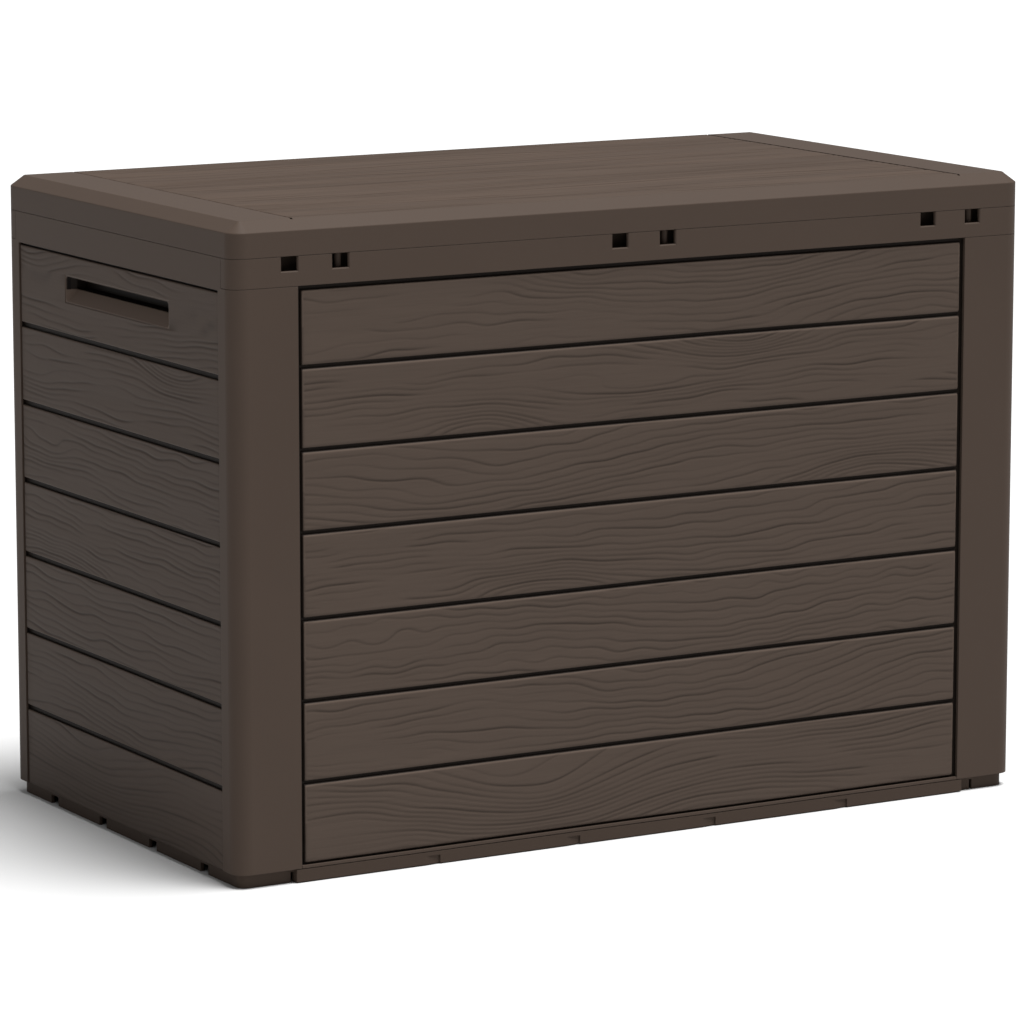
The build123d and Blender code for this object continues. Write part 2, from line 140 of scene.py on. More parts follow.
class Shader:
    """A material's node tree and its one surface shader."""

    def __init__(self, name: str) -> None:
        """Makes the material and keeps its surface shader."""
        self.material = bpy.data.materials.new(name)
        self.material.use_nodes = True
        self.tree = self.material.node_tree
        self.surface = self.tree.nodes["Principled BSDF"]

    def node(self, kind: str, settings: dict[str, Any], inputs: dict[Any, Any], out: Any = 0) -> Signal:
        """Adds a node.

        Args:
            kind: The node's type.
            settings: The node's own properties, set first.
            inputs: A value, or a signal to link, for each input by name or number.
            out: The output wanted, by name or number.

        Returns:
            The output as a signal.
        """
        made = self.tree.nodes.new(kind)
        for key, value in settings.items():
            setattr(made, key, value)
        for key, value in inputs.items():
            self._feed(made.inputs[key], value)
        return Signal(self, made.outputs[out])

    def _feed(self, socket: bpy.types.NodeSocket, value: Any) -> None:
        """Links a signal to a socket, or sets the socket's own value."""
        if isinstance(value, Signal):
            self.tree.links.new(value.socket, socket)
        else:
            socket.default_value = value

    def into(self, name: str, value: Any) -> None:
        """Feeds one socket of the surface shader."""
        self._feed(self.surface.inputs[name], value)

    def place(self, scale: tuple[float, float, float]) -> Signal:
        """Object coordinates in metres, multiplied along each axis.

        Args:
            scale: Repeats per metre along X, Y and Z.

        Returns:
            The scaled coordinates.
        """
        coordinates = self.node("ShaderNodeTexCoord", {}, {}, "Object")
        return self.node("ShaderNodeMapping", {}, {"Vector": coordinates, "Scale": scale})

    def noise(self, scale: tuple[float, float, float], detail: float = 2.0, rough: float = 0.5) -> Signal:
        """Cloudy noise from 0 to 1 with its own repeats per metre along each axis.

        Args:
            scale: Repeats per metre along X, Y and Z.
            detail: Octaves.
            rough: How strong the finer octaves are.

        Returns:
            The noise value.
        """
        inputs = {"Vector": self.place(scale), "Scale": 1.0, "Detail": detail, "Roughness": rough}
        return self.node("ShaderNodeTexNoise", {}, inputs, "Fac")

    def attribute(self, name: str) -> Signal:
        """A number that the piece's own mesh stores."""
        return self.node("ShaderNodeAttribute", {"attribute_name": name}, {}, "Fac")

    def ramp(self, value: Signal, low: float, high: float) -> Signal:
        """Stretches a signal so that low gives 0 and high gives 1, clamped.

        Args:
            value: The signal.
            low: The value that gives 0.
            high: The value that gives 1.

        Returns:
            The stretched signal.
        """
        inputs = {"Value": value, "From Min": low, "From Max": high}
        return self.node("ShaderNodeMapRange", {"clamp": True}, inputs, "Result")

    def inside(self, region: "Region") -> Signal:
        """Mask of a region: 1 inside, 0 outside, with a short fade.

        Args:
            region: The region.

        Returns:
            The mask.
        """
        coordinates = self.node("ShaderNodeTexCoord", {}, {}, "Object")
        mirrored = self.node("ShaderNodeVectorMath", {"operation": "ABSOLUTE"}, {0: coordinates})
        masks = []
        for axis, (low, high) in zip("XYZ", region.bounds):
            value = self.node("ShaderNodeSeparateXYZ", {}, {"Vector": mirrored}, axis)
            masks.append(self.ramp(value, (low - region.fade) * MM, low * MM))
            masks.append(self.ramp(value, (high + region.fade) * MM, high * MM))
        return math.prod(masks[1:], start=masks[0])

    def blend(self, mask: Signal, first: Any, second: Any) -> Signal:
        """Mixes two colours.

        Args:
            mask: 0 gives the first colour and 1 the second.
            first: A colour or a signal.
            second: A colour or a signal.

        Returns:
            The mixed colour.
        """
        inputs = {"Factor": mask, MIX_FIRST_COLOUR: first, MIX_SECOND_COLOUR: second}
        return self.node("ShaderNodeMix", {"data_type": "RGBA"}, inputs, MIXED_COLOUR)


def rgba(colour: Colour, gain: float = 1.0) -> tuple[float, float, float, float]:
    """A linear colour times a gain, with full alpha."""
    return (colour[0] * gain, colour[1] * gain, colour[2] * gain, 1.0)


@dataclass(frozen=True)
class Region:
    """A block of space mirrored in X and Y, as bounds of |X|, |Y| and Z. Millimetres."""

    bounds: tuple[Span, Span, Span]
    fade: float = 0.3


@dataclass(frozen=True)
class MouldedFinish:
    """Dark through-dyed polypropylene with the fine texture of a spark-eroded mould."""

    name: str
    # Recesses are painted near-black: painted shade for the shade that falls in them.
    recesses: tuple[Region, ...] = ()
    # Patches painted lighter: painted light.
    painted_light_patches: tuple[Region, ...] = ()
    colour: Colour = (0.0645, 0.0465, 0.0365)
    recess_shade_strength: float = 0.85
    recess_shade_gain: float = 0.05
    painted_light_gain: float = 1.6
    shine: float = 0.06
    roughness: float = 0.5
    roughness_spread: float = 0.08
    cloud: float = 0.08
    cloud_repeats: float = 5.0
    grit_repeats: float = 1400.0
    grit_cover: float = 0.10
    grit_gain: float = 0.75
    grit_mm: float = 0.05
    scuff_repeats: tuple[float, float, float] = (26.0, 26.0, 90.0)
    scuff_range: Span = (0.62, 0.8)
    scuff_cover: float = 0.06
    scuff_gain: float = 1.6
    scuff_roughness: float = 0.05
    bump_strength: float = 0.5
    edge_mm: float = 0.9
    edge_samples: int = 4

    def material(self) -> bpy.types.Material:
        """Builds the finish: clouded dye, fine grit, faint scuffs, painted shade in the recesses, painted
        light on the given patches and softened edges.

        Returns:
            The material.
        """
        shader = Shader(self.name)
        cloud = shader.noise((self.cloud_repeats,) * 3, detail=4.0, rough=0.6)
        grit = shader.noise((self.grit_repeats,) * 3, detail=2.0, rough=0.6)
        scuff = shader.ramp(shader.noise(self.scuff_repeats, detail=5.0, rough=0.7), *self.scuff_range)
        dye = shader.blend(cloud, rgba(self.colour, 1 - self.cloud), rgba(self.colour, 1 + self.cloud))
        dye = shader.blend(scuff * self.scuff_cover, dye, rgba(self.colour, self.scuff_gain))
        dye = shader.blend(grit * self.grit_cover, dye, rgba(self.colour, self.grit_gain))
        # Painted shade: each recess is blended towards near-black, standing in for the shade inside it.
        for recess in self.recesses:
            painted_shade = rgba(self.colour, self.recess_shade_gain)
            dye = shader.blend(shader.inside(recess) * self.recess_shade_strength, dye, painted_shade)
        # Painted light: each patch is blended towards a lighter colour, standing in for light falling on
        # it.
        for patch in self.painted_light_patches:
            dye = shader.blend(shader.inside(patch), dye, rgba(self.colour, self.painted_light_gain))
        shader.into("Base Color", dye)
        shader.into("Specular IOR Level", self.shine)
        rough = self.roughness + (cloud - HALF) * self.roughness_spread + scuff * self.scuff_roughness
        shader.into("Roughness", rough)
        bevel = {"samples": self.edge_samples}
        soft = shader.node("ShaderNodeBevel", bevel, {"Radius": self.edge_mm * MM}, "Normal")
        grain = {"Strength": self.bump_strength, "Distance": self.grit_mm * MM, "Height": grit}
        bump = {**grain, "Normal": soft}
        shader.into("Normal", shader.node("ShaderNodeBump", {}, bump, "Normal"))
        return shader.material


@dataclass(frozen=True)
class GrainedFinish:
    """The same plastic on a face embossed with wood grain. Grain lines are painted darker, partly the
    grain's own tone and partly painted shade in the pressed grooves; the planks' side walls are painted
    dark as painted shade; upper rounded edges are painted lighter as a painted highlight.
    """

    name: str
    along: Along
    colour: Colour = (0.0755, 0.056, 0.0447)
    shine: float = 0.06
    roughness: float = 0.5
    line_dark: float = 0.55
    lip_highlight_strength: float = 0.27
    line_gain: float = 0.25
    lip_highlight_gain: float = 1.8
    streak_contrast: float = 0.06
    streak_repeats: Span = (2.5, 60.0)
    streak_roughness: float = 0.10
    cloud_repeats: float = 4.0
    cloud_cover: float = 0.3
    cloud_gain: float = 1.1
    fibre_repeats: Span = (22.0, 700.0)
    fibre_range: Span = (0.4, 0.8)
    fibre_cover: float = 0.22
    fibre_gain: float = 0.6
    fibre_mm: float = 0.09
    bump_strength: float = 0.5

    def _scale(self, along: float, across: float) -> tuple[float, float, float]:
        """Repeats per metre along and across the grain, as X, Y and Z."""
        return (along, across, across) if self.along is Along.X else (across, along, across)

    def material(self) -> bpy.types.Material:
        """Builds the finish from the mesh's line and lip values and stretched noise.

        Returns:
            The material.
        """
        shader = Shader(self.name)
        line = shader.attribute("line")
        lip_highlight = shader.attribute("lip_highlight")
        fibre = shader.noise(self._scale(*self.fibre_repeats), detail=3.0, rough=0.6)
        streak = shader.noise(self._scale(*self.streak_repeats), detail=3.0, rough=0.5)
        cloud = shader.noise((self.cloud_repeats,) * 3, detail=4.0, rough=0.6)
        low, high = 1 - self.streak_contrast, 1 + self.streak_contrast
        dye = shader.blend(streak, rgba(self.colour, low), rgba(self.colour, high))
        dye = shader.blend(cloud * self.cloud_cover, dye, rgba(self.colour, self.cloud_gain))
        strand = shader.ramp(fibre, *self.fibre_range) * self.fibre_cover
        dye = shader.blend(strand, dye, rgba(self.colour, self.fibre_gain))
        # Painted shade: the line value darkens the grain lines, partly the grain's own tone and partly
        # painted shade in the pressed grooves, and darkens the planks' side walls fully as painted shade.
        dye = shader.blend(line * self.line_dark, dye, rgba(self.colour, self.line_gain))
        # Painted highlight: the upper rounded edges of the planks are painted lighter.
        dye = shader.blend(lip_highlight * self.lip_highlight_strength, dye, rgba(self.colour, self.lip_highlight_gain))
        shader.into("Base Color", dye)
        shader.into("Specular IOR Level", self.shine)
        shader.into("Roughness", self.roughness + (streak - HALF) * self.streak_roughness)
        bump = {"Strength": self.bump_strength, "Distance": self.fibre_mm * MM, "Height": fibre}
        shader.into("Normal", shader.node("ShaderNodeBump", {}, bump, "Normal"))
        return shader.material


@dataclass(frozen=True)
class SteelFinish:
    """Drawn steel of the hinge pins, with faint rings and a dull film."""

    name: str
    colour: Colour = (0.42, 0.42, 0.41)
    ring_repeats: tuple[float, float, float] = (2600.0, 60.0, 60.0)
    ring_mm: float = 0.02
    ring_strength: float = 0.3
    film_repeats: float = 120.0
    film_gains: Span = (0.8, 1.1)
    roughness: float = 0.30
    film_roughness: float = 0.15

    def material(self) -> bpy.types.Material:
        """Builds the finish from rings along the pin and a dull film.

        Returns:
            The material.
        """
        shader = Shader(self.name)
        rings = shader.noise(self.ring_repeats, detail=2.0, rough=0.5)
        film = shader.noise((self.film_repeats,) * 3, detail=4.0, rough=0.6)
        low, high = self.film_gains
        shader.into("Base Color", shader.blend(film, rgba(self.colour, low), rgba(self.colour, high)))
        shader.into("Metallic", 1.0)
        shader.into("Roughness", self.roughness + film * self.film_roughness)
        bump = {"Strength": self.ring_strength, "Distance": self.ring_mm * MM, "Height": rings}
        shader.into("Normal", shader.node("ShaderNodeBump", {}, bump, "Normal"))
        return shader.material


@dataclass(frozen=True)
class FloorFinish:
    """Plain pale studio floor."""

    name: str
    dark: float = 0.59
    light: float = 0.61
    mottle_repeats: float = 2.0
    roughness: float = 0.95
    shine: float = 0.1

    def material(self) -> bpy.types.Material:
        """Builds a matt pale grey with a trace of mottle.

        Returns:
            The material.
        """
        shader = Shader(self.name)
        mottle = shader.noise((self.mottle_repeats,) * 3, detail=3.0, rough=0.5)
        shader.into("Base Color", shader.blend(mottle, rgba((self.dark,) * 3), rgba((self.light,) * 3)))
        shader.into("Roughness", self.roughness)
        shader.into("Specular IOR Level", self.shine)
        return shader.material


@dataclass(frozen=True)
class Heart:
    """A hill in the field of growth rings, which bends them into arches and hooks. Millimetres.

    A hill with more rings pulls the lines down round it, and one with fewer lifts them over it.
    """

    u: float
    v: float
    rings: float
    long: float
    high: float

    def shape(self, u: np.ndarray, v: np.ndarray) -> np.ndarray:
        """Gaussian of the distance from the middle, measured in the hill's own lengths."""
        return np.exp(-(((u - self.u) / self.long) ** 2) - ((v - self.v) / self.high) ** 2)


@dataclass
class Grain:
    """Growth rings of one board: straight lines that hearts bend, pressed in as soft grooves."""

    seed: int
    hearts: list[Heart] = field(default_factory=list)
    style: LineStyle = LineStyle.PLANK
    pitch: float = 6.2
    wander: float = 0.55
    wander_long: float = 330.0
    wander_high: float = 110.0
    ripple: float = 0.13
    ripple_long: float = 58.0
    ripple_high: float = 34.0
    patch_long: float = 170.0
    patch_high: float = 30.0
    cover: float = 0.6
    patch_spread: float = 0.62
    heart_patch: float = 1.25
    uneven: float = 0.28
    run_length: float = 37.0
    line_turn: float = 2.39
    run_turn: float = 4.7
    swell: float = 0.05
    swell_long: float = 240.0
    swell_high: float = 26.0
    wave_count: int = 8
    wave_range: Span = (0.7, 2.4)
    least_slope: float = 0.02
    faint_slope: float = 0.06
    most_slope: float = 0.62
    slope_fade: float = 0.2
    seed_step: int = 31

    def waves(self, u: np.ndarray, v: np.ndarray, long: float, high: float, salt: int) -> np.ndarray:
        """Smooth noise: a sum of sine waves with random lengths, slants and phases.

        Args:
            u: Places along the board.
            v: Places across the board.
            long: Mean wavelength along the board.
            high: Mean wavelength across it.
            salt: Keeps this noise apart from the board's others.

        Returns:
            Values with a mean of 0 and a spread of about 1.
        """
        random = np.random.default_rng(self.seed * self.seed_step + salt)
        total = np.zeros(np.broadcast(u, v).shape)
        for _ in range(self.wave_count):
            ku = 2 * math.pi / (long * random.uniform(*self.wave_range))
            kv = 2 * math.pi / (high * random.uniform(*self.wave_range)) * random.choice([-1, 1])
            total = total + np.sin(ku * u + kv * v + random.uniform(0, 2 * math.pi))
        return total / math.sqrt(self.wave_count / 2)

    def rings(self, u: np.ndarray, v: np.ndarray) -> np.ndarray:
        """Ring number at each place: v over the pitch, plus wander and ripple, plus each heart's hill.

        Args:
            u: Places along the board.
            v: Places across the board.

        Returns:
            The ring number.
        """
        phase = v / self.pitch + self.wander * self.waves(u, v, self.wander_long, self.wander_high, 1)
        phase = phase + self.ripple * self.waves(u, v, self.ripple_long, self.ripple_high, 7)
        for heart in self.hearts:
            phase = phase + heart.rings * heart.shape(u, v)
        return phase

    def _strength(self, u: np.ndarray, v: np.ndarray, number: np.ndarray) -> np.ndarray:
        """How strongly each line is pressed in: patches, times the line's own strength along its run.

        Args:
            u: Places along the board.
            v: Places across the board.
            number: The number of the nearest line.

        Returns:
            Strengths from 0 to 1.
        """
        patch = self.cover + self.patch_spread * self.waves(u, v, self.patch_long, self.patch_high, 3)
        for heart in self.hearts:
            patch = np.maximum(patch, self.heart_patch * np.sqrt(heart.shape(u, v)))
        patch = np.clip(patch, 0.0, 1.0)
        even = 1 - self.uneven
        own = even + self.uneven * np.sin(number * self.line_turn + self.seed)
        run = even + self.uneven * np.sin(u / self.run_length + number * self.run_turn + self.seed)
        return patch * patch * (3 - 2 * patch) * own * run

    def relief(self, u: np.ndarray, v: np.ndarray) -> tuple[np.ndarray, np.ndarray]:
        """Depth of the grain below the board's face.

        A groove runs where the ring number is whole. Its depth falls off as a Gaussian of the true
        distance to that line, which is the ring fraction over the slope of the ring field. A low
        swell, a slow wave across the board, lies under the lines.

        Args:
            u: Places along the board, one row of the grid.
            v: Places across the board, one column of the grid.

        Returns:
            The depth in millimetres, from 0 down, and how much of each place is line, 0 to 1.
        """
        grid_u, grid_v = np.meshgrid(u, v)
        phase = self.rings(grid_u, grid_v)
        slope_v, slope_u = np.gradient(phase, v, u)
        slope = np.maximum(np.hypot(slope_u, slope_v), self.least_slope)
        number = np.round(phase)
        half, depth = self.style.value
        clear = np.clip((self.most_slope - slope) / self.slope_fade, 0, 1)
        clear = clear * np.clip(slope / self.faint_slope, 0, 1)
        line = np.exp(-(((phase - number) / slope / half) ** 2)) * clear
        line = line * self._strength(grid_u, grid_v, number)
        low = 1 + np.clip(self.waves(grid_u, grid_v, self.swell_long, self.swell_high, 4), -1, 1)
        return -(depth * line + self.swell * low), line


def steps(low: float, high: float, pitch: float, edge: float, count: int = 5) -> np.ndarray:
    """Grid lines from low to high: even in the middle, and closer in the rounded edges.

    Args:
        low: First line.
        high: Last line.
        pitch: Distance between lines in the middle.
        edge: Radius of the rounded edge.
        count: Lines in each edge.

    Returns:
        The lines' places, rising.
    """
    turn = np.linspace(0, math.pi / 2, count, endpoint=False)
    near = edge * (1 - np.cos(turn))
    middle = np.linspace(low + edge, high - edge, max(3, int((high - low - 2 * edge) / pitch) + 2))
    return np.concatenate([low + near, middle, (high - near)[::-1]])


def rounding(distance: np.ndarray, radius: float) -> np.ndarray:
    """Drop of a quarter-round edge: the radius less the height of its circle at that distance."""
    inside = radius - np.clip(distance, 0, radius)
    return radius - np.sqrt(np.maximum(radius**2 - inside**2, 0))


@dataclass
class Slab:
    """A closed slab whose face is a grid of heights, on a flat back, with a hole where asked."""

    u: np.ndarray
    v: np.ndarray
    height: np.ndarray
    back: float
    hole: Optional[tuple[int, int, int, int]] = None

    def _shape(self) -> tuple[int, int]:
        """Rows and columns of the grid with its skirt, which is one line wider each way."""
        return len(self.v) + 2, len(self.u) + 2

    def _numbers(self) -> np.ndarray:
        """Point numbers as a grid."""
        rows, columns = self._shape()
        return np.arange(rows * columns).reshape(rows, columns)

    def points(self) -> np.ndarray:
        """Grid points as (u, height, v), where the outermost lines repeat the edge at the back's depth.

        Returns:
            One point per row, row by row.
        """
        u = np.concatenate([self.u[:1], self.u, self.u[-1:]])
        v = np.concatenate([self.v[:1], self.v, self.v[-1:]])
        height = np.full(self._shape(), self.back)
        height[1:-1, 1:-1] = self.height
        grid_u, grid_v = np.meshgrid(u, v)
        return np.stack([grid_u, height, grid_v], axis=-1).reshape(-1, 3)

    def _quads(self) -> np.ndarray:
        """Four corners of each cell, as point numbers, wound so that the face looks outwards."""
        number = self._numbers()
        cells = np.stack([number[:-1, :-1], number[:-1, 1:], number[1:, 1:], number[1:, :-1]], axis=-1)
        keep = np.ones(cells.shape[:2], bool)
        if self.hole:
            row0, row1, column0, column1 = self.hole
            keep[row0 + 1 : row1 + 1, column0 + 1 : column1 + 1] = False
        return cells[keep]

    def _caps(self) -> list[list[int]]:
        """Faces that close the back, each a loop of point numbers wound the other way.

        Returns:
            One loop, or four round a hole.
        """
        number = self._numbers()
        bottom, top = number[0, :], number[-1, :]
        left, right = number[:, 0], number[:, -1]
        if not self.hole:
            loops = [list(left[:-1]) + list(top[:-1]) + list(right[:0:-1]) + list(bottom[:0:-1])]
            return [[int(i) for i in loop] for loop in loops]
        row0, row1, column0, column1 = (i + 1 for i in self.hole)
        under = list(left[: row0 + 1]) + list(number[row0, column0 : column1 + 1])
        under += list(right[row0::-1]) + list(bottom[-2:0:-1])
        over = list(left[row1:]) + list(top[1:]) + list(right[-2 : row1 - 1 : -1])
        over += list(number[row1, column1 : column0 - 1 : -1])
        before = list(left[row0 : row1 + 1]) + list(number[row1 : row0 - 1 : -1, column0])
        after = list(number[row0 : row1 + 1, column1]) + list(right[row1 : row0 - 1 : -1])
        return [[int(i) for i in loop] for loop in (under, over, before, after)]

    def mesh(self, name: str, place: np.ndarray, values: dict[str, np.ndarray]) -> bpy.types.Mesh:
        """Makes the mesh.

        Args:
            name: The mesh's name.
            place: Points in metres, in the order of points().
            values: Numbers stored on the points, each an array over the inner grid.

        Returns:
            The mesh, smooth-shaded.
        """
        mesh = bpy.data.meshes.new(name)
        mesh.from_pydata(place.tolist(), [], self._quads().tolist() + self._caps())
        for key, value in values.items():
            whole = np.zeros(self._shape(), np.float32)
            whole[1:-1, 1:-1] = value
            layer = mesh.attributes.new(key, "FLOAT", "POINT")
            layer.data.foreach_set("value", whole.ravel())
        mesh.shade_smooth()
        mesh.update()
        return mesh


def turned(points: np.ndarray, wall: Wall) -> np.ndarray:
    """Turns points about Z by the wall's quarter turns.

    Args:
        points: One point per row.
        wall: The wall that the front's plane is brought to.

    Returns:
        The turned points.
    """
    quarter = wall.value * math.pi / 2
    cos, sin = round(math.cos(quarter)), round(math.sin(quarter))
    x, y, z = points.T
    return np.stack([cos * x - sin * y, sin * x + cos * y, z], axis=-1)


def add_piece(mesh: bpy.types.Mesh, material: bpy.types.Material, body: str) -> bpy.types.Object:
    """Puts a mesh into the scene as a piece that rides on a body.

    Args:
        mesh: The finished mesh, in place.
        material: Its finish.
        body: The body that it rides on.

    Returns:
        The object.
    """
    piece = bpy.data.objects.new(mesh.name, mesh)
    bpy.context.scene.collection.objects.link(piece)
    mesh.materials.append(material)
    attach(piece, body)
    LOG.info("%s: %d faces on %s", piece.name, len(mesh.polygons), body)
    return piece


@dataclass(frozen=True)
class Layout:
    """Where the planks lie on the mouldings. Millimetres."""

    half_width: float
    half_depth: float
    top: float
    seam: float
    panel_low: float
    rail: float = 24.5
    post_front: float = 60.0
    post_side: float = 26.0
    front_sink: float = 2.0
    front_groove: float = 2.6
    front_side_gap: float = 3.5
    front_top_gap: float = 3.5
    front_middle_extra: float = 3.6
    front_top_extra: float = -5.0
    sill: float = 2.4
    sill_groove: float = 1.4
    side_sink: float = 1.5
    side_groove: float = 4.6
    side_end_gap: float = 1.0
    side_field_drop: float = 27.0
    side_middle_extra: float = -3.0
    side_top_extra: float = 3.0
    grip_top_drop: float = 47.0
    grip_height: float = 22.0
    grip_length: float = 197.0
    grip_margin: float = 0.8
    grip_slot: float = 11.0
    grip_hook: float = 10.5
    grip_depth: float = 18.5
    grip_slope_depth: float = 8.5
    front_recess_depths: Span = (5.5, 2.6)
    side_recess_depths: Span = (5.0, 2.1)
    lid_groove: float = 2.0
    lid_chamfer: float = 12.0
    lid_edge: float = 1.2

    @classmethod
    def from_frame(cls) -> "Layout":
        """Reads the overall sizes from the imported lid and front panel.

        Returns:
            The layout.
        """
        lid_low, lid_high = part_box("lid")
        panel_low, panel_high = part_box("front_panel")
        return cls(lid_high.x / MM, -lid_low.y / MM, lid_high.z / MM, panel_high.z / MM, panel_low.z / MM)

    def _spans(self, bottom: float, top: float, groove: float, middle: float, last: float) -> np.ndarray:
        """Lower and upper edges of planks that share a height, apart from the middle and the last.

        Args:
            bottom: Lower edge of the field.
            top: Upper edge of the field.
            groove: Width of the groove between planks.
            middle: How much taller the middle plank is.
            last: How much taller the top plank is.

        Returns:
            One row per plank, lowest first.
        """
        heights = np.full(PLANKS, (top - bottom - middle - last) / PLANKS)
        heights[PLANKS // 2] += middle
        heights[-1] += last
        lines = bottom + np.concatenate([[0.0], np.cumsum(heights)])
        return np.stack([lines[:-1] + groove / 2, lines[1:] - groove / 2], axis=-1)

    def front_spans(self) -> np.ndarray:
        """Edges of the front planks: the field runs from the sill's groove to the rail's gap."""
        low = self.panel_low + self.sill + self.sill_groove / 2
        high = self.seam - self.rail - self.front_top_gap
        spans = self._spans(low, high, self.front_groove, self.front_middle_extra, self.front_top_extra)
        spans[0, 0], spans[-1, 1] = low + self.sill_groove / 2, high
        return spans

    def side_spans(self) -> np.ndarray:
        """Edges of the side planks: the field runs from the panel's foot to the band under the rim."""
        low, high = self.panel_low, self.seam - self.side_field_drop
        spans = self._spans(low, high, self.side_groove, self.side_middle_extra, self.side_top_extra)
        spans[0, 0] = low
        return spans

    def grip(self) -> tuple[float, float, float]:
        """Lower edge, upper edge and half length of the hand grip's mouth, with a margin."""
        high = self.seam - self.grip_top_drop
        low = high - self.grip_height
        return low - self.grip_margin, high + self.grip_margin, self.grip_length / 2 + self.grip_margin

    def front_recess(self) -> Region:
        """The grooves between front planks, which get painted shade: from just under the pads to just under
        the sunk plane.
        """
        along = (0.0, self.half_width - self.post_front)
        deep, shallow = self.front_recess_depths
        across = (self.half_depth - deep, self.half_depth - shallow)
        return Region((along, across, (0.0, self.seam - self.rail)))

    def side_recess(self) -> Region:
        """The grooves between side planks, which get painted shade: from just under the pads to just under
        the sunk plane.
        """
        along = (0.0, self.half_depth - self.post_side)
        deep, shallow = self.side_recess_depths
        across = (self.half_width - deep, self.half_width - shallow)
        return Region((across, along, (0.0, self.seam - self.side_field_drop)))

    def pocket(self) -> Region:
        """The hook pocket behind the upper half of the hand grip's mouth, painted near-black as painted
        shade.
        """
        high = self.seam - self.grip_top_drop
        deep = self.half_width - self.side_sink - self.grip_depth - self.grip_margin
        across = (deep, self.half_width - 2 * self.side_sink)
        along = (0.0, self.grip_length / 2)
        return Region((across, along, (high - self.grip_slot, high + self.grip_hook + self.grip_margin)))

    def grip_slope(self) -> Region:
        """The slope in the lower half of the hand grip's mouth, painted lighter: painted light that stands
        in for light falling on it.
        """
        high = self.seam - self.grip_top_drop
        across = (self.half_width - self.side_sink - self.grip_slope_depth, self.half_width)
        along = (0.0, self.grip_length / 2)
        return Region((across, along, (high - self.grip_height, high - self.grip_slot - self.grip_margin)))


